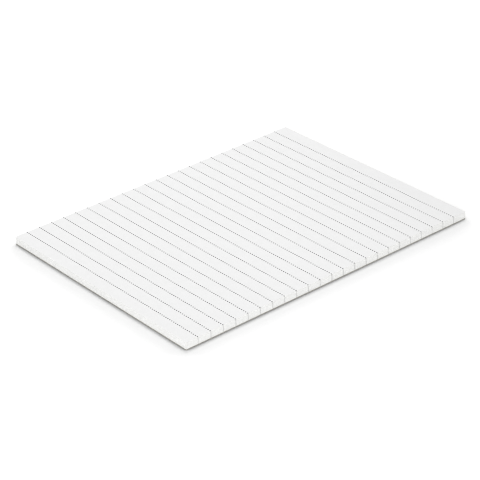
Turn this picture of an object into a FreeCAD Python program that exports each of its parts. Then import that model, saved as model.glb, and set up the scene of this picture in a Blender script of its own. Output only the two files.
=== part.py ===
"""A top-bound writing pad lying flat: a glued block of sheets on a thin board.

The origin is the centre of the underside. +X runs along the ruled lines, +Y runs
up the page to the bound end, and +Z points up out of the writing face.
"""
import FreeCAD, Part
import os

import Sketcher

Vector = FreeCAD.Vector

# Driving dimensions, in millimetres except the number of sheets.
SIZES = [
    ("sheet_width", 215.9, "across the page, along the ruled lines"),
    ("sheet_length", 279.4, "from the loose end of the page to the bound end"),
    ("sheet_count", 50, "sheets in the block"),
    ("sheet_thickness", 0.115, "one sheet of writing paper as it lies in the block"),
    ("board_thickness", 0.7, "chipboard under the sheets"),
    ("glue_thickness", 0.3, "film of padding glue on the bound end"),
    ("glue_round", 0.2, "radius of the film's brushed edges"),
]


def make_sheet(doc):
    """Fill the spreadsheet: a name, a number with its alias, and what it is."""
    sheet = doc.addObject("Spreadsheet::Sheet", "Sizes")
    for row, (alias, value, note) in enumerate(SIZES, start=1):
        sheet.set(f"A{row}", alias)
        sheet.set(f"B{row}", str(value))
        sheet.set(f"C{row}", note)
        sheet.setAlias(f"B{row}", alias)
    doc.recompute()
    return sheet


def origin_plane(body, role):
    """Return the body's own origin plane that has this role."""
    return next(f for f in body.Origin.OriginFeatures if f.Role == role)


def rectangle_sketch(body, name, role, across, up, stands_on_axis=False):
    """Draw a rectangle in one of the body's planes, with both sizes bound.

    It is centred on the origin, or stands on the horizontal axis and is centred
    only sideways.
    """
    sketch = body.newObject("Sketcher::SketchObject", name)
    sketch.AttachmentSupport = [(origin_plane(body, role), "")]
    sketch.MapMode = "FlatFace"
    low = 0 if stands_on_axis else -1
    corners = [Vector(-1, low, 0), Vector(1, low, 0), Vector(1, 1, 0), Vector(-1, 1, 0)]
    for start, end in zip(corners, corners[1:] + corners[:1]):
        sketch.addGeometry(Part.LineSegment(start, end))
    for side in range(4):
        sketch.addConstraint(Sketcher.Constraint("Coincident", side, 2, (side + 1) % 4, 1))
    for side in (0, 2):
        sketch.addConstraint(Sketcher.Constraint("Horizontal", side))
    for side in (1, 3):
        sketch.addConstraint(Sketcher.Constraint("Vertical", side))
    if stands_on_axis:
        sketch.addConstraint(Sketcher.Constraint("Symmetric", 0, 1, 0, 2, -1, 1))
    else:
        sketch.addConstraint(Sketcher.Constraint("Symmetric", 0, 1, 1, 2, -1, 1))
    width = sketch.addConstraint(Sketcher.Constraint("DistanceX", 0, 1, 0, 2, 2.0))
    sketch.renameConstraint(width, "across")
    height = sketch.addConstraint(Sketcher.Constraint("DistanceY", 1, 1, 1, 2, 1.0 - low))
    sketch.renameConstraint(height, "up")
    sketch.setExpression("Constraints.across", across)
    sketch.setExpression("Constraints.up", up)
    return sketch


def make_slab(doc, name, thickness, base):
    """Build a flat slab of the sheets' outline, resting at the height given by base."""
    body = doc.addObject("PartDesign::Body", name)
    body.Label = name
    outline = rectangle_sketch(
        body, name + "_outline", "XY_Plane", "Sizes.sheet_width", "Sizes.sheet_length"
    )
    pad = body.newObject("PartDesign::Pad", name + "_slab")
    pad.Profile = outline
    pad.setExpression("Length", thickness)
    body.setExpression("Placement.Base.y", "-Sizes.glue_thickness / 2")
    body.setExpression("Placement.Base.z", base)
    return body


def outer_edges(shape):
    """Name the edges of the face that looks furthest along +Y."""
    far = shape.BoundBox.YMax
    names = []
    for number, edge in enumerate(shape.Edges, start=1):
        if all(abs(vertex.Y - far) < 1e-6 for vertex in edge.Vertexes):
            names.append(f"Edge{number}")
    return names


def make_glue(doc):
    """Build the film that holds the sheets and the board together at the bound end."""
    body = doc.addObject("PartDesign::Body", "glue_binding")
    body.Label = "glue_binding"
    outline = rectangle_sketch(
        body,
        "glue_outline",
        "XZ_Plane",
        "Sizes.sheet_width",
        "Sizes.board_thickness + Sizes.sheet_count * Sizes.sheet_thickness",
        stands_on_axis=True,
    )
    film = body.newObject("PartDesign::Pad", "glue_film")
    film.Profile = outline
    film.Reversed = True
    film.setExpression("Length", "Sizes.glue_thickness")
    body.setExpression("Placement.Base.y", "(Sizes.sheet_length - Sizes.glue_thickness) / 2")
    doc.recompute()
    brushed = body.newObject("PartDesign::Fillet", "glue_brushed_edges")
    brushed.Base = (film, outer_edges(film.Shape))
    brushed.setExpression("Radius", "min(Sizes.glue_round; 0.9 * Sizes.glue_thickness)")
    return body


def check(doc, bodies):
    """Stop if any object of the document failed or a sub-part has no sound solid."""
    for item in doc.Objects:
        if "Invalid" in item.State or "Error" in item.State:
            raise RuntimeError(f"{item.Label} failed: {item.State}")
    for body in bodies:
        shape = body.Shape
        if shape.isNull() or not shape.isValid() or len(shape.Solids) != 1:
            raise RuntimeError(f"{body.Label} has no sound solid")


def main():
    """Build the pad and write one file for each sub-part."""
    doc = FreeCAD.newDocument("writing_pad")
    make_sheet(doc)
    bodies = [
        make_slab(doc, "backing_board", "Sizes.board_thickness", "0"),
        make_slab(
            doc,
            "page_block",
            "Sizes.sheet_count * Sizes.sheet_thickness",
            "Sizes.board_thickness",
        ),
        make_glue(doc),
    ]
    doc.recompute()
    check(doc, bodies)
    os.makedirs("parts", exist_ok=True)
    for body in bodies:
        body.Shape.exportStep(f"parts/{body.Label}.step")
        box = body.Shape.BoundBox
        print(f"{body.Label}: {box.XLength:.2f} x {box.YLength:.2f} x {box.ZLength:.2f} mm")


main()
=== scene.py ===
"""Dresses the writing pad: its sheets, ruling, chipboard back and binding glue, and the studio.

Everything is in metres in the part's own frame: +X along the rules, +Y up the page to the
bound end, +Z up out of the writing face.
"""

import logging
import math
import random
from dataclasses import dataclass, field
from enum import Enum

import bmesh
import bpy
from mathutils import Matrix, Vector, noise


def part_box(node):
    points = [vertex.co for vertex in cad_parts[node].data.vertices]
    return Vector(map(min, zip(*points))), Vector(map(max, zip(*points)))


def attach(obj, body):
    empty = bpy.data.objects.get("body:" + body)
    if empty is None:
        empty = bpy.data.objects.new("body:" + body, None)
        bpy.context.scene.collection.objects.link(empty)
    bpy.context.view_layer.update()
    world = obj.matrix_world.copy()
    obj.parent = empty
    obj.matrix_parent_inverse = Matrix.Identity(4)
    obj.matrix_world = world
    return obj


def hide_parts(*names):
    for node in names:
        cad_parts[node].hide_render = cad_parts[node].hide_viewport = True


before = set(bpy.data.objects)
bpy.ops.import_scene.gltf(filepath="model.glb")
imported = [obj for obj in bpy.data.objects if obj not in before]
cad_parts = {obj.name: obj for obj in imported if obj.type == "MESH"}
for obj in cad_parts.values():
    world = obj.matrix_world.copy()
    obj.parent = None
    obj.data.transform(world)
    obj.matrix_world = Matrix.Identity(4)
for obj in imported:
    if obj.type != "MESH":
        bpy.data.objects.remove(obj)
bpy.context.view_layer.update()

MM = 0.001
SEED = 23
log = logging.getLogger("writing_pad")


class Face(Enum):
    """Which of a piece's materials a face takes."""

    FLAT = 0
    CUT = 1


def linear_colour(code: str) -> tuple[float, float, float, float]:
    """Turn an sRGB hex colour to linear.

    Args:
        code: Six hex digits, such as "F4F4F2".

    Returns:
        Red, green, blue and alpha, in linear light.
    """
    parts = [int(code[i : i + 2], 16) / 255 for i in (0, 2, 4)]
    red, green, blue = [c / 12.92 if c <= 0.04045 else ((c + 0.055) / 1.055) ** 2.4 for c in parts]
    return red, green, blue, 1.0


def add_node(
    tree: bpy.types.NodeTree,
    kind: str,
    settings: dict | None = None,
    links: dict | None = None,
) -> bpy.types.Node:
    """Add one node with its settings and links.

    Args:
        tree: The tree that takes the node.
        kind: The node's type name.
        settings: Values of the node's own properties, or of its inputs by name or number.
        links: Output sockets, by the name or number of the input that each one feeds.

    Returns:
        The new node.
    """
    node = tree.nodes.new(kind)
    for key, value in (settings or {}).items():
        if isinstance(key, str) and hasattr(node, key):
            setattr(node, key, value)
        else:
            node.inputs[key].default_value = value
    for key, socket in (links or {}).items():
        tree.links.new(socket, node.inputs[key])
    return node


def place(tree: bpy.types.NodeTree, stretch: tuple[float, float, float]) -> bpy.types.NodeSocket:
    """Give Object coordinates in millimetres.

    Args:
        tree: The material's tree.
        stretch: How many times coarser the pattern is along each axis.

    Returns:
        The scaled coordinates.
    """
    where = add_node(tree, "ShaderNodeTexCoord")
    scale = tuple(1 / (MM * s) for s in stretch)
    mapping = add_node(
        tree, "ShaderNodeMapping", {"Scale": scale}, {"Vector": where.outputs["Object"]}
    )
    return mapping.outputs["Vector"]


def mottle(
    tree: bpy.types.NodeTree,
    size_mm: float,
    detail: float = 2.0,
    stretch: tuple[float, float, float] = (1.0, 1.0, 1.0),
) -> bpy.types.NodeSocket:
    """Make a noise pattern whose features have a real size.

    Args:
        tree: The material's tree.
        size_mm: Size of one feature.
        detail: Octaves of finer noise on top.
        stretch: How much longer a feature is along each axis.

    Returns:
        The noise, about 0.5 on average.
    """
    texture = add_node(
        tree,
        "ShaderNodeTexNoise",
        {"Scale": 1 / size_mm, "Detail": detail},
        {"Vector": place(tree, stretch)},
    )
    return texture.outputs[0]


def spread(
    tree: bpy.types.NodeTree,
    value: bpy.types.NodeSocket,
    low: float = 0.35,
    high: float = 0.65,
) -> bpy.types.NodeSocket:
    """Stretch a value so that low becomes 0 and high becomes 1, and clamp it.

    Args:
        tree: The material's tree.
        value: The value to stretch, such as a noise, which lies mostly between the defaults.
        low: What becomes 0.
        high: What becomes 1.

    Returns:
        The stretched value.
    """
    ranged = add_node(
        tree, "ShaderNodeMapRange", {"From Min": low, "From Max": high}, {"Value": value}
    )
    return ranged.outputs[0]


def mix_colours(
    tree: bpy.types.NodeTree,
    share: bpy.types.NodeSocket,
    first: str | bpy.types.NodeSocket,
    second: str,
) -> bpy.types.NodeSocket:
    """Mix two colours.

    Args:
        tree: The material's tree.
        share: 0 for the first colour, 1 for the second.
        first: A hex colour, or a colour that comes from another node.
        second: A hex colour.

    Returns:
        The mixed colour.
    """
    # In a colour Mix node, inputs 6 and 7 are the colours, and output 2 is the result.
    settings = {"data_type": "RGBA", 7: linear_colour(second)}
    links = {0: share}
    if isinstance(first, str):
        settings[6] = linear_colour(first)
    else:
        links[6] = first
    return add_node(tree, "ShaderNodeMix", settings, links).outputs[2]


def relief(
    tree: bpy.types.NodeTree,
    height: bpy.types.NodeSocket,
    depth_mm: float,
) -> bpy.types.NodeSocket:
    """Turn a height pattern to a bumped normal.

    Args:
        tree: The material's tree.
        height: The pattern, from 0 to 1.
        depth_mm: Height of the relief.

    Returns:
        The normal.
    """
    bump = add_node(
        tree,
        "ShaderNodeBump",
        {"Distance": depth_mm * MM, "Strength": 1.0},
        {"Height": height},
    )
    return bump.outputs["Normal"]


@dataclass(frozen=True)
class Finish:
    """What every finish of the pad shares.

    Attributes:
        name: What the real material is.
        roughness: From 0, polished, to 1, matt.
        ior: Index of refraction.
    """

    name: str
    roughness: float
    ior: float

    def begin(self) -> tuple[bpy.types.Material, bpy.types.NodeTree, bpy.types.Node]:
        """Start the material.

        Returns:
            The material, its tree and its surface shader.
        """
        material = bpy.data.materials.new(self.name)
        material.use_nodes = True
        tree = material.node_tree
        tree.nodes.clear()
        shader = add_node(
            tree, "ShaderNodeBsdfPrincipled", {"Roughness": self.roughness, "IOR": self.ior}
        )
        add_node(tree, "ShaderNodeOutputMaterial", links={"Surface": shader.outputs["BSDF"]})
        return material, tree, shader


@dataclass(frozen=True)
class BondPaper(Finish):
    """Uncoated white bond: calendered fibres, so it is matt, with faint clouds and a fine tooth.

    Attributes:
        paper: Colour where the fibres lie thick.
        thin: Colour of the clouds, where they lie thin.
        cloud_mm: Size of the clouds that a sheet shows against the light.
        fibre_mm: Width of one visible fibre bundle, which is six times as long.
        tooth_mm: Height of the surface's tooth.
    """

    name: str = "white_bond_paper"
    roughness: float = 0.9
    ior: float = 1.53
    paper: str = "F5F5F5"
    thin: str = "F3F3F3"
    cloud_mm: float = 5.0
    fibre_mm: float = 0.12
    tooth_mm: float = 0.006

    def material(self) -> bpy.types.Material:
        """Build the finish.

        Returns:
            The material.
        """
        material, tree, shader = self.begin()
        clouds = spread(tree, mottle(tree, self.cloud_mm))
        colour = mix_colours(tree, clouds, self.paper, self.thin)
        tree.links.new(colour, shader.inputs["Base Color"])
        fibres = mottle(tree, self.fibre_mm, detail=3.0, stretch=(1.0, 6.0, 1.0))
        tree.links.new(relief(tree, fibres, self.tooth_mm), shader.inputs["Normal"])
        return material


@dataclass(frozen=True)
class CutPaper(Finish):
    """Guillotined paper edges: the knife leaves each sheet a shade of its own, a little warmer.

    Attributes:
        paper: Colour of the palest sheet.
        shaded: Colour of the darkest one.
        sheet_mm: Thickness of a sheet.
        drag_mm: Width of the faint marks that the knife drags down the whole block.
        drag_depth_mm: Depth of those marks.
    """

    name: str = "guillotined_paper_edges"
    roughness: float = 0.95
    ior: float = 1.53
    paper: str = "F4F4F3"
    shaded: str = "EEEEEC"
    sheet_mm: float = 0.115
    drag_mm: float = 1.6
    drag_depth_mm: float = 0.01

    def material(self) -> bpy.types.Material:
        """Build the finish.

        Returns:
            The material.
        """
        material, tree, shader = self.begin()
        where = add_node(tree, "ShaderNodeTexCoord")
        axes = add_node(tree, "ShaderNodeSeparateXYZ", links={0: where.outputs["Object"]})
        sheet = add_node(
            tree,
            "ShaderNodeMath",
            {"operation": "DIVIDE", 1: self.sheet_mm * MM},
            {0: axes.outputs["Z"]},
        )
        number = add_node(
            tree, "ShaderNodeMath", {"operation": "FLOOR"}, {0: sheet.outputs["Value"]}
        )
        shade = add_node(
            tree,
            "ShaderNodeTexWhiteNoise",
            {"noise_dimensions": "1D"},
            {"W": number.outputs["Value"]},
        )
        colour = mix_colours(tree, shade.outputs["Value"], self.paper, self.shaded)
        tree.links.new(colour, shader.inputs["Base Color"])
        drag = mottle(tree, self.drag_mm, detail=3.0, stretch=(1.0, 1.0, 6.0))
        tree.links.new(relief(tree, drag, self.drag_depth_mm), shader.inputs["Normal"])
        return material


@dataclass(frozen=True)
class PrintedInk(Finish):
    """Offset printing ink: a thin dry film, nearly matt, a little uneven where the paper drinks it.

    Attributes:
        full: Colour where the film is whole.
        starved: Colour where the paper shows through.
        grain_mm: Size of the uneven spots.
    """

    name: str = "grey_offset_ink"
    roughness: float = 0.7
    ior: float = 1.5
    full: str = "161618"
    starved: str = "242426"
    grain_mm: float = 0.2

    def material(self) -> bpy.types.Material:
        """Build the finish.

        Returns:
            The material.
        """
        material, tree, shader = self.begin()
        grain = spread(tree, mottle(tree, self.grain_mm))
        colour = mix_colours(tree, grain, self.full, self.starved)
        tree.links.new(colour, shader.inputs["Base Color"])
        return material


@dataclass(frozen=True)
class Chipboard(Finish):
    """Grey chipboard: pulped waste paper pressed in plies, matt and flecked with stray fibres.

    Attributes:
        board: Colour of the pulp.
        dark: Colour of its darker clouds.
        fleck: Colour of the stray fibres.
        cloud_mm: Size of the clouds.
        fleck_mm: Width of a fleck, which is longer than it is wide.
        fleck_from: Level of the noise from which there is a fleck.
        fleck_full: Level at which the fleck has its full colour.
        fibre_mm: Width of a fibre of the nap, which is three times as long.
        nap_mm: Height of the nap.
    """

    name: str = "grey_chipboard"
    roughness: float = 0.95
    ior: float = 1.5
    board: str = "B4B1A9"
    dark: str = "A4A199"
    fleck: str = "706D67"
    cloud_mm: float = 3.0
    fleck_mm: float = 0.5
    fleck_from: float = 0.66
    fleck_full: float = 0.72
    fibre_mm: float = 0.25
    nap_mm: float = 0.03

    def material(self) -> bpy.types.Material:
        """Build the finish.

        Returns:
            The material.
        """
        material, tree, shader = self.begin()
        clouds = spread(tree, mottle(tree, self.cloud_mm, detail=4.0))
        pulp = mix_colours(tree, clouds, self.board, self.dark)
        stray = mottle(tree, self.fleck_mm, detail=1.0, stretch=(2.5, 1.0, 1.0))
        flecks = spread(tree, stray, self.fleck_from, self.fleck_full)
        colour = mix_colours(tree, flecks, pulp, self.fleck)
        tree.links.new(colour, shader.inputs["Base Color"])
        nap = mottle(tree, self.fibre_mm, detail=4.0, stretch=(3.0, 1.0, 1.0))
        tree.links.new(relief(tree, nap, self.nap_mm), shader.inputs["Normal"])
        return material


@dataclass(frozen=True)
class PaddingGlue(Finish):
    """Dried white padding compound: a brushed vinyl film, smooth and softly glossy.

    Attributes:
        thick: Colour where the film is thick.
        thin: Colour where the sheets' edges show through.
        patch_mm: Height of a thick or thin patch, which is twice as long.
        stroke_mm: Width of one brush mark; it runs along the edge of the block.
        ridge_mm: Height of the brush marks.
    """

    name: str = "dried_padding_glue"
    roughness: float = 0.38
    ior: float = 1.47
    thick: str = "F0EFEA"
    thin: str = "E6E4DC"
    patch_mm: float = 4.0
    stroke_mm: float = 0.7
    ridge_mm: float = 0.05

    def material(self) -> bpy.types.Material:
        """Build the finish.

        Returns:
            The material.
        """
        material, tree, shader = self.begin()
        patches = mottle(tree, self.patch_mm, detail=3.0, stretch=(2.0, 1.0, 1.0))
        colour = mix_colours(tree, spread(tree, patches), self.thick, self.thin)
        tree.links.new(colour, shader.inputs["Base Color"])
        strokes = mottle(tree, self.stroke_mm, stretch=(14.0, 1.0, 1.0))
        tree.links.new(relief(tree, strokes, self.ridge_mm), shader.inputs["Normal"])
        return material


@dataclass(frozen=True)
class StudioFloor:
    """A matt white sweep.

    It shows as pure white to the camera and keeps the pad's shadow. Towards the foot of the pad,
    where little light gets in, painted shade darkens its colour.

    Attributes:
        lift: Light added for the camera, so that the open floor is pure white.
        lit: Distance from the pad up to which the lamps light the floor evenly.
        unlit: Distance at which their light has gone, and the added light takes its place.
        bounce: Colour with which the floor lights the pad.
        reach: How far from the pad the painted foot shade goes.
        reach_samples: Rays that look for it.
        lean: Middle of the sky that counts for the painted foot shade. It leans over the pad, so
            that the painted shade lies in front.
        shade: Openness to that sky, and the floor's painted shade colour there, in linear light.
        touch: How far the thin painted contact shadow goes where the pad touches the floor, on
            every side.
        touch_samples: Rays that look for it.
        contact_shadow_tone: The floor's colour in that painted contact shadow.
    """

    name: str = "white_sweep"
    lift: float = 0.14
    lit: float = 0.25
    unlit: float = 2.5
    bounce: float = 0.92
    reach: float = 40 * MM
    reach_samples: int = 32
    lean: tuple[float, float, float] = (-0.454, 0.454, 0.766)
    shade: tuple[tuple[float, float], ...] = (
        (0.32, 0.0),
        (0.35, 0.07),
        (0.385, 0.2),
        (0.42, 0.335),
        (0.46, 0.48),
        (0.52, 0.645),
        (0.58, 0.73),
        (0.65, 0.76),
        (0.75, 0.77),
        (0.83, 0.81),
        (0.89, 0.87),
        (0.93, 0.93),
        (0.96, 1.0),
    )
    touch: float = 3 * MM
    touch_samples: int = 16
    contact_shadow_tone: float = 0.2

    def painted_foot_shade(self, tree: bpy.types.NodeTree) -> bpy.types.NodeSocket:
        """Paint shade on the floor where the pad hides the sky that counts.

        Args:
            tree: The material's tree.

        Returns:
            The floor's tone, in linear light.
        """
        lean = add_node(tree, "ShaderNodeCombineXYZ", dict(zip("XYZ", self.lean)))
        open_sky = add_node(
            tree,
            "ShaderNodeAmbientOcclusion",
            {"samples": self.reach_samples, "Distance": self.reach},
            {"Normal": lean.outputs[0]},
        )
        ramp = add_node(tree, "ShaderNodeValToRGB", links={0: open_sky.outputs["AO"]})
        stops = ramp.color_ramp.elements
        while len(stops) < len(self.shade):
            stops.new(0.5)
        for stop, (openness, level) in zip(stops, self.shade):
            stop.position = openness
            stop.color = (level, level, level, 1.0)
        return ramp.outputs["Color"]

    def painted_contact_shadow(self, tree: bpy.types.NodeTree) -> bpy.types.NodeSocket:
        """Paint a thin contact shadow on the floor next to the pad, where half of the sky is
        hidden.

        Args:
            tree: The material's tree.

        Returns:
            The floor's tone, in linear light.
        """
        near = add_node(
            tree,
            "ShaderNodeAmbientOcclusion",
            {"samples": self.touch_samples, "Distance": self.touch},
        )
        line = add_node(
            tree,
            "ShaderNodeMapRange",
            {"From Min": 0.5, "From Max": 1.0, "To Min": self.contact_shadow_tone, "To Max": 1.0},
            {"Value": near.outputs["AO"]},
        )
        return line.outputs[0]

    def added_light(self, tree: bpy.types.NodeTree) -> bpy.types.NodeSocket:
        """Add the light that takes over from the lamps with distance.

        Args:
            tree: The material's tree.

        Returns:
            The shader that glows with it.
        """
        where = add_node(tree, "ShaderNodeTexCoord")
        away = add_node(
            tree,
            "ShaderNodeVectorMath",
            {"operation": "LENGTH"},
            {0: where.outputs["Object"]},
        )
        added = add_node(
            tree,
            "ShaderNodeMapRange",
            {"From Min": self.lit, "From Max": self.unlit, "To Min": self.lift, "To Max": 1.0},
            {"Value": away.outputs["Value"]},
        )
        glow = add_node(tree, "ShaderNodeEmission", links={"Strength": added.outputs[0]})
        return glow.outputs[0]

    def material(self) -> bpy.types.Material:
        """Build the finish.

        Returns:
            The material.
        """
        material = bpy.data.materials.new(self.name)
        material.use_nodes = True
        tree = material.node_tree
        tree.nodes.clear()
        # The floor's colour takes the darker of the painted foot shade and the painted contact
        # shadow.
        tone = add_node(
            tree,
            "ShaderNodeMath",
            {"operation": "MINIMUM"},
            {0: self.painted_foot_shade(tree), 1: self.painted_contact_shadow(tree)},
        )
        seen = add_node(tree, "ShaderNodeBsdfDiffuse", links={"Color": tone.outputs[0]})
        lifted = add_node(
            tree,
            "ShaderNodeAddShader",
            links={0: seen.outputs[0], 1: self.added_light(tree)},
        )
        matt = (self.bounce, self.bounce, self.bounce, 1.0)
        plain = add_node(tree, "ShaderNodeBsdfDiffuse", {"Color": matt})
        path = add_node(tree, "ShaderNodeLightPath")
        surface = add_node(
            tree,
            "ShaderNodeMixShader",
            links={
                0: path.outputs["Is Camera Ray"],
                1: plain.outputs[0],
                2: lifted.outputs[0],
            },
        )
        add_node(tree, "ShaderNodeOutputMaterial", links={"Surface": surface.outputs[0]})
        return material


def make_piece(
    mesh_data: bmesh.types.BMesh,
    name: str,
    materials: list[bpy.types.Material],
    node: str | None = None,
) -> bpy.types.Object:
    """Turn a bmesh to a finished piece of the pad.

    Args:
        mesh_data: The shape, in place. It is freed.
        name: The piece's name.
        materials: Its materials, in the order of Face.
        node: The CAD node that the piece stands for, if there is one.

    Returns:
        The piece.
    """
    mesh = bpy.data.meshes.new(name)
    mesh_data.to_mesh(mesh)
    mesh_data.free()
    for material in materials:
        mesh.materials.append(material)
    piece = bpy.data.objects.new(name, mesh)
    bpy.context.scene.collection.objects.link(piece)
    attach(piece, "root")
    if node:
        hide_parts(node)
    log.info("%s: %d faces", name, len(mesh.polygons))
    return piece


def only_vertices(geometry: list) -> list[bmesh.types.BMVert]:
    """Return the vertices among an operator's mixed geometry."""
    return [item for item in geometry if isinstance(item, bmesh.types.BMVert)]


@dataclass
class LayeredSlab:
    """A flat slab of thin layers with their own slightly uneven outlines, as one closed shell.

    Attributes:
        low: Lowest corner of the space that the slab fills.
        high: Highest corner.
        layers: How many layers it has.
        trim: How far the layers stand back from the outline.
        ragged: How much further back the most uneven layer stands.
        crease: Depth of the groove between two layers.
        seed: Which uneven outlines the layers get.
    """

    low: Vector
    high: Vector
    layers: int
    trim: float = 0.02 * MM
    ragged: float = 0.03 * MM
    crease: float = 0.012 * MM
    seed: int = SEED
    setbacks: list[tuple[float, float]] = field(init=False)

    def __post_init__(self) -> None:
        """Draw how far each layer stands back, across and along."""
        draw = random.Random(self.seed)
        self.setbacks = [
            (draw.uniform(0, self.ragged), draw.uniform(0, self.ragged)) for _ in range(self.layers)
        ]

    @property
    def thickness(self) -> float:
        """Thickness of one layer."""
        return (self.high.z - self.low.z) / self.layers

    def half_size(self, layer: int, inset: float) -> tuple[float, float]:
        """Give a layer's half width and half length.

        Args:
            layer: Its number, from the bottom.
            inset: How far inside the layer's own outline.

        Returns:
            Half of the width and half of the length.
        """
        across, along = self.setbacks[layer]
        half = (self.high - self.low) / 2
        return half.x - self.trim - across - inset, half.y - self.trim - along - inset

    def raise_ring(
        self,
        shell: bmesh.types.BMesh,
        face: bmesh.types.BMFace,
        half: tuple[float, float],
        height: float,
    ) -> bmesh.types.BMFace:
        """Extrude the top face to the next ring of the outline.

        Args:
            shell: The slab so far.
            face: Its top face.
            half: Half width and half length of the new ring.
            height: Height of the new ring.

        Returns:
            The new top face.
        """
        centre = (self.low + self.high) / 2
        top = bmesh.ops.extrude_discrete_faces(shell, faces=[face])["faces"][0]
        for corner in top.verts:
            corner.co.x = centre.x + math.copysign(half[0], corner.co.x - centre.x)
            corner.co.y = centre.y + math.copysign(half[1], corner.co.y - centre.y)
            corner.co.z = height
        return top

    def shell(self) -> bmesh.types.BMesh:
        """Build the slab from the bottom up.

        Returns:
            The closed shell, with its flat faces and its cut edges marked as Face says.
        """
        made = bmesh.new()
        bmesh.ops.create_cube(made, size=1.0)
        across, along = self.half_size(0, self.crease)
        size = Vector((2 * across, 2 * along, self.crease))
        centre = (self.low + self.high) / 2
        bmesh.ops.scale(made, vec=size, verts=made.verts)
        bmesh.ops.translate(
            made, vec=(centre.x, centre.y, self.low.z + self.crease / 2), verts=made.verts
        )
        # Each flank of a groove is twice as high as the groove is deep.
        flank = 2 * self.crease
        top = max(made.faces, key=lambda face: face.calc_center_median().z)
        for layer in range(self.layers):
            foot = self.low.z + layer * self.thickness
            head = foot + self.thickness
            if layer:
                top = self.raise_ring(made, top, self.half_size(layer, self.crease), foot)
            top = self.raise_ring(made, top, self.half_size(layer, 0.0), foot + flank)
            top = self.raise_ring(made, top, self.half_size(layer, 0.0), head - flank)
            top = self.raise_ring(made, top, self.half_size(layer, self.crease), head)
        bottom = min(made.faces, key=lambda face: face.calc_center_median().z)
        for face in made.faces:
            face.material_index = Face.FLAT.value if face in (top, bottom) else Face.CUT.value
        return made


@dataclass
class Ruling:
    """The printed rules: rows of dots over the whole width, and where they run off the sheets.

    Attributes:
        pages: The block that is ruled.
        top: Height of the ink's surface.
        rules: How many rules the page has.
        first: Distance of the first rule from the page's loose end.
        pitch: Distance from one rule to the next.
        dots_across: How many dots a rule has.
        dot_pitch: Distance from one dot to the next.
        dot_width: Width of a dot.
        dot_sides: Sides of a dot's outline.
        dab_width: Width of the mark that a rule leaves on a sheet's cut edge.
        dab_height: Height of that mark, as a share of the sheet's thickness.
        wander: How far a sheet's print may lie off its place.
    """

    pages: LayeredSlab
    top: float
    rules: int = 23
    first: float = 11.05 * MM
    pitch: float = 11.614 * MM
    dots_across: int = 95
    dot_pitch: float = 2.283 * MM
    dot_width: float = 1.06 * MM
    dot_sides: int = 10
    dab_width: float = 0.7 * MM
    dab_height: float = 0.7
    wander: float = 0.06 * MM

    def rule_places(self) -> list[float]:
        """Return the Y of every rule."""
        start = self.pages.low.y + self.first
        return [start + number * self.pitch for number in range(self.rules)]

    def repeat(
        self,
        made: bmesh.types.BMesh,
        pattern: list,
        shifts: list[tuple[float, float, float]],
    ) -> None:
        """Copy a pattern to other places.

        Args:
            made: The mesh that holds it.
            pattern: Its geometry.
            shifts: How far each copy moves.
        """
        for shift in shifts:
            copied = bmesh.ops.duplicate(made, geom=pattern)["geom"]
            bmesh.ops.translate(made, vec=shift, verts=only_vertices(copied))

    def dots(self, ink: bpy.types.Material) -> bpy.types.Object:
        """Print the dots on the top sheet: one row, repeated for each rule.

        Args:
            ink: The finish of the dots.

        Returns:
            The piece.
        """
        places = self.rule_places()
        depth = self.top - self.pages.high.z
        middle = (self.pages.low.x + self.pages.high.x) / 2
        made = bmesh.new()
        for number in range(self.dots_across):
            at = (
                middle + (number - (self.dots_across - 1) / 2) * self.dot_pitch,
                places[0],
                self.top - depth / 2,
            )
            bmesh.ops.create_cone(
                made,
                cap_ends=True,
                cap_tris=False,
                segments=self.dot_sides,
                radius1=self.dot_width / 2,
                radius2=self.dot_width / 2 - depth,
                depth=depth,
                matrix=Matrix.Translation(at),
            )
        row = made.verts[:] + made.edges[:] + made.faces[:]
        self.repeat(made, row, [(0, y - places[0], 0) for y in places[1:]])
        return make_piece(made, "rule_dots", [ink])

    def ends(self, ink: bpy.types.Material) -> bpy.types.Object:
        """Mark where the rules run off each sheet, as dabs down both long sides.

        Args:
            ink: The finish of the marks.

        Returns:
            The piece.
        """
        places = self.rule_places()
        draw = random.Random(SEED)
        pages = self.pages
        depth = pages.trim + pages.ragged
        side = pages.high.x - (pages.trim + depth) / 2
        middle = (pages.low.x + pages.high.x) / 2
        height = self.dab_height * pages.thickness
        made = bmesh.new()
        for layer in range(pages.layers):
            at = (
                side,
                places[0] + draw.uniform(-self.wander, self.wander),
                pages.low.z + (layer + 0.5) * pages.thickness,
            )
            size = Matrix.Diagonal((depth, self.dab_width, height, 1))
            bmesh.ops.create_cube(made, size=1.0, matrix=Matrix.Translation(at) @ size)
        column = made.verts[:] + made.edges[:] + made.faces[:]
        self.repeat(made, column, [(2 * (middle - side), 0, 0)])
        both = made.verts[:] + made.edges[:] + made.faces[:]
        self.repeat(made, both, [(0, y - places[0], 0) for y in places[1:]])
        return make_piece(made, "rule_ends", [ink])


@dataclass
class PageBlock:
    """The block of sheets with its ruling.

    Attributes:
        sheets: How many sheets the block has.
        ink: Thickness left on the top sheet for the printed dots.
    """

    sheets: int = 50
    ink: float = 0.02 * MM

    def build(self) -> list[bpy.types.Object]:
        """Build and dress the block.

        Returns:
            The sheets, the dots and the marks on the cut edges.
        """
        low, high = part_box("page_block")
        face = Vector((high.x, high.y, high.z - self.ink))
        pages = LayeredSlab(low, face, layers=self.sheets)
        finishes = [BondPaper().material(), CutPaper().material()]
        block = make_piece(pages.shell(), "sheet_block", finishes, "page_block")
        ruling = Ruling(pages, top=high.z)
        dots = ruling.dots(PrintedInk().material())
        # The sheets' edges drink the ink, so that little of it shows there.
        soaked = PrintedInk(
            "soaked_ink_edges", roughness=0.95, full="D7D7D6", starved="DCDCDB"
        )
        return [block, dots, ruling.ends(soaked.material())]


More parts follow.
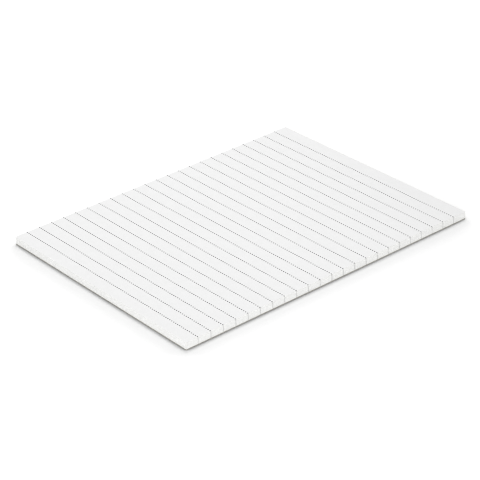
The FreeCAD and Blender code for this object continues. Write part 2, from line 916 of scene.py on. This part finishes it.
@dataclass
class BackingBoard:
    """The chipboard back, pressed from a few plies.

    Attributes:
        plies: How many plies its cut edge shows.
        ragged: How far back the most uneven ply stands.
        crease: Depth of the groove between two plies.
    """

    plies: int = 5
    ragged: float = 0.05 * MM
    crease: float = 0.03 * MM

    def build(self) -> bpy.types.Object:
        """Build and dress the board.

        Returns:
            The piece.
        """
        low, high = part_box("backing_board")
        board = LayeredSlab(
            low,
            high,
            layers=self.plies,
            trim=0.0,
            ragged=self.ragged,
            crease=self.crease,
            seed=SEED + 1,
        )
        chipboard = Chipboard().material()
        return make_piece(
            board.shell(), "chipboard_back", [chipboard, chipboard], "backing_board"
        )


@dataclass
class GlueBinding:
    """The film of glue on the bound end, brushed along the block.

    Attributes:
        columns: Faces along the film.
        rows: Faces up the film.
        dip: How much thinner the film is at its thinnest.
        patch: Length of one thick or thin patch.
        streak: How many times longer than high a patch is.
        rim: Width over which the film thins out to its border.
        thinning: How thin it is at the border, from 0, not thinner, to 1, gone.
    """

    columns: int = 240
    rows: int = 16
    dip: float = 0.12 * MM
    patch: float = 6 * MM
    streak: float = 4.0
    rim: float = 0.5 * MM
    thinning: float = 0.9

    def surface(self, point: Vector, low: Vector, high: Vector) -> float:
        """Give the height of the film's outer face.

        Args:
            point: Where on the bound end.
            low: Lowest corner of the film.
            high: Highest corner.

        Returns:
            The Y of the outer face there.
        """
        uneven = noise.noise(Vector((point.x, 0.0, self.streak * point.z)) / self.patch)
        border = min(point.x - low.x, high.x - point.x, point.z - low.z, high.z - point.z)
        near = max(0.0, 1 - border / self.rim)
        full = high.y - self.dip * (0.5 + 0.5 * uneven)
        return low.y + (full - low.y) * math.sqrt(1 - self.thinning * near**2)

    def build(self) -> bpy.types.Object:
        """Build and dress the film.

        Returns:
            The piece.
        """
        low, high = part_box("glue_binding")
        size = high - low
        centre = (low + high) / 2
        made = bmesh.new()
        bmesh.ops.create_grid(made, x_segments=self.columns, y_segments=self.rows, size=0.5)
        bmesh.ops.rotate(made, matrix=Matrix.Rotation(-math.pi / 2, 3, "X"), verts=made.verts)
        bmesh.ops.scale(made, vec=(size.x, 1.0, size.z), verts=made.verts)
        bmesh.ops.translate(made, vec=(centre.x, high.y, centre.z), verts=made.verts)
        for vertex in made.verts:
            vertex.co.y = self.surface(vertex.co, low, high)
        border = [edge for edge in made.edges if edge.is_boundary]
        sides = bmesh.ops.extrude_edge_only(made, edges=border)["geom"]
        for vertex in only_vertices(sides):
            vertex.co.y = low.y
        back = [item for item in sides if isinstance(item, bmesh.types.BMEdge)]
        bmesh.ops.holes_fill(made, edges=back, sides=0)
        bmesh.ops.recalc_face_normals(made, faces=made.faces)
        # The brushed face is smooth, and its border stays sharp.
        for face in made.faces:
            face.smooth = face.normal.y > 0.5
        finish = PaddingGlue().material()
        return make_piece(made, "glue_film", [finish], "glue_binding")


def direction(azimuth: float, elevation: float) -> Vector:
    """Give the direction from the pad towards a lamp or camera.

    Args:
        azimuth: Degrees round from -Y towards +X.
        elevation: Degrees above the floor.

    Returns:
        A unit vector.
    """
    turn, rise = math.radians(azimuth), math.radians(elevation)
    flat = math.cos(rise)
    return Vector((math.sin(turn) * flat, -math.cos(turn) * flat, math.sin(rise)))


@dataclass
class Lamp:
    """A lamp that hangs round the pad.

    Attributes:
        name: Its name.
        azimuth: Where it stands, in degrees round from -Y towards +X.
        elevation: How high, in degrees.
        share: Its part of the light on a surface that faces it, where 1 shows a colour as it is.
        distance: Distance from the pad.
        aim: Point of the floor that it looks at.
    """

    name: str
    azimuth: float
    elevation: float
    share: float
    distance: float = 2.6
    aim: tuple[float, float, float] = (0.0, 0.0, 0.0)

    def light(self) -> bpy.types.Light:
        """Make the light itself, which each kind of lamp does in its own way."""
        raise NotImplementedError

    def build(self) -> bpy.types.Object:
        """Hang the lamp.

        Returns:
            Its object.
        """
        hung = bpy.data.objects.new(self.name, self.light())
        stand = direction(self.azimuth, self.elevation) * self.distance
        hung.location = stand
        hung.rotation_euler = (stand - Vector(self.aim)).to_track_quat("Z", "Y").to_euler()
        bpy.context.scene.collection.objects.link(hung)
        return hung


@dataclass
class Softbox(Lamp):
    """A square soft lamp.

    Attributes:
        size: Length of its side.
    """

    size: float = 1.6

    def light(self) -> bpy.types.Light:
        """Make the square light.

        Returns:
            The light, whose power gives the lamp's share at the pad.
        """
        light = bpy.data.lights.new(self.name, "AREA")
        light.shape = "SQUARE"
        light.size = self.size
        light.energy = self.share * math.pi**2 * self.distance**2
        return light


@dataclass
class EdgedLamp(Lamp):
    """A small round lamp with a soft-edged cone, which darkens the page towards one corner.

    Attributes:
        cone: Full angle of the cone, in degrees.
        blend: How much of the cone is its soft edge.
        radius: Radius of the lamp.
    """

    cone: float = 34.0
    blend: float = 0.57
    radius: float = 0.1

    def light(self) -> bpy.types.Light:
        """Make the round light with its cone.

        Returns:
            The light, whose power gives the lamp's share at the pad.
        """
        light = bpy.data.lights.new(self.name, "SPOT")
        light.spot_size = math.radians(self.cone)
        light.spot_blend = self.blend
        light.shadow_soft_size = self.radius
        light.energy = self.share * 4 * math.pi**2 * self.distance**2
        return light


@dataclass
class PadCamera:
    """The photograph's camera, from a perspective fit to the rules and the pad's edges.

    Attributes:
        azimuth: Degrees round from -Y towards +X.
        elevation: Degrees above the floor.
        roll: Degrees that the camera is turned about its own axis.
        focal_px: Focal length in pixels of the photograph.
        frame_px: Width of the photograph in pixels.
        sensor_mm: Width of the sensor.
        aim: Point of the floor in the middle of the picture.
        distance: Distance from there.
    """

    azimuth: float = 51.792
    elevation: float = 28.915
    roll: float = -2.974
    focal_px: float = 1946.7
    frame_px: float = 480.0
    sensor_mm: float = 36.0
    aim: tuple[float, float, float] = (10.25 * MM, -9.42 * MM, 0.0)
    distance: float = 1516.9 * MM

    def build(self) -> bpy.types.Object:
        """Set the camera up and make it the scene's.

        Returns:
            The camera's object.
        """
        lens = bpy.data.cameras.new("camera")
        lens.sensor_width = self.sensor_mm
        lens.lens = self.focal_px / self.frame_px * self.sensor_mm
        camera = bpy.data.objects.new("camera", lens)
        back = direction(self.azimuth, self.elevation)
        turn = math.radians(self.azimuth)
        level = Vector((math.cos(turn), math.sin(turn), 0))
        rolled = Matrix.Rotation(math.radians(self.roll), 3, back) @ level
        axes = Matrix((rolled, back.cross(rolled), back)).transposed()
        camera.matrix_world = (
            Matrix.Translation(Vector(self.aim) + back * self.distance) @ axes.to_4x4()
        )
        bpy.context.scene.collection.objects.link(camera)
        bpy.context.scene.camera = camera
        return camera


@dataclass
class Studio:
    """The white floor, the lamps and the camera.

    Attributes:
        radius: Radius of the floor.
        sky: Strength of the even light from all round.
        filter_px: Width of the pixel filter. The dots are about a pixel wide, and a wider filter
            melts them into lines.
        lamps: The lamps.
    """

    radius: float = 6.0
    sky: float = 0.525
    filter_px: float = 1.25
    lamps: tuple[Lamp, ...] = (
        Softbox("softbox_behind", azimuth=218.0, elevation=60.0, share=0.285),
        Softbox("softbox_front", azimuth=44.0, elevation=16.0, share=0.46, size=1.2),
        # The soft edge of this cone crosses the page. Past the middle of the page its light
        # falls off towards the right corner of the bound end.
        EdgedLamp(
            "cone_behind", azimuth=235.0, elevation=60.0, share=0.157, aim=(-0.2, -0.45, 0.0)
        ),
    )

    def lay_floor(self) -> None:
        """Lay the round floor, which isn't part of the pad."""
        made = bmesh.new()
        bmesh.ops.create_circle(made, cap_ends=True, segments=64, radius=self.radius)
        mesh = bpy.data.meshes.new("floor")
        made.to_mesh(mesh)
        made.free()
        mesh.materials.append(StudioFloor().material())
        floor = bpy.data.objects.new("floor", mesh)
        bpy.context.scene.collection.objects.link(floor)

    def fill_room(self) -> None:
        """Fill the room with even white light, which the camera sees as pure white."""
        world = bpy.data.worlds.new("white_room")
        world.use_nodes = True
        background = world.node_tree.nodes["Background"]
        background.inputs["Color"].default_value = (1.0, 1.0, 1.0, 1.0)
        path = add_node(world.node_tree, "ShaderNodeLightPath")
        strength = add_node(
            world.node_tree,
            "ShaderNodeMapRange",
            {"To Min": self.sky, "To Max": 1.0},
            {"Value": path.outputs["Is Camera Ray"]},
        )
        world.node_tree.links.new(strength.outputs[0], background.inputs["Strength"])
        bpy.context.scene.world = world

    def build(self) -> None:
        """Set the studio up."""
        self.lay_floor()
        self.fill_room()
        for lamp in self.lamps:
            lamp.build()
        PadCamera().build()
        scene = bpy.context.scene
        scene.view_settings.view_transform = "Standard"
        scene.cycles.filter_width = self.filter_px
        # The denoiser's guides stay as they are, because smoothed ones lose the dots too.
        scene.cycles.denoising_prefilter = "NONE"


def main() -> None:
    """Build the pad, then the studio round it."""
    logging.basicConfig(level=logging.INFO, format="%(message)s")
    PageBlock().build()
    BackingBoard().build()
    GlueBinding().build()
    Studio().build()


if __name__ == "__main__":
    main()
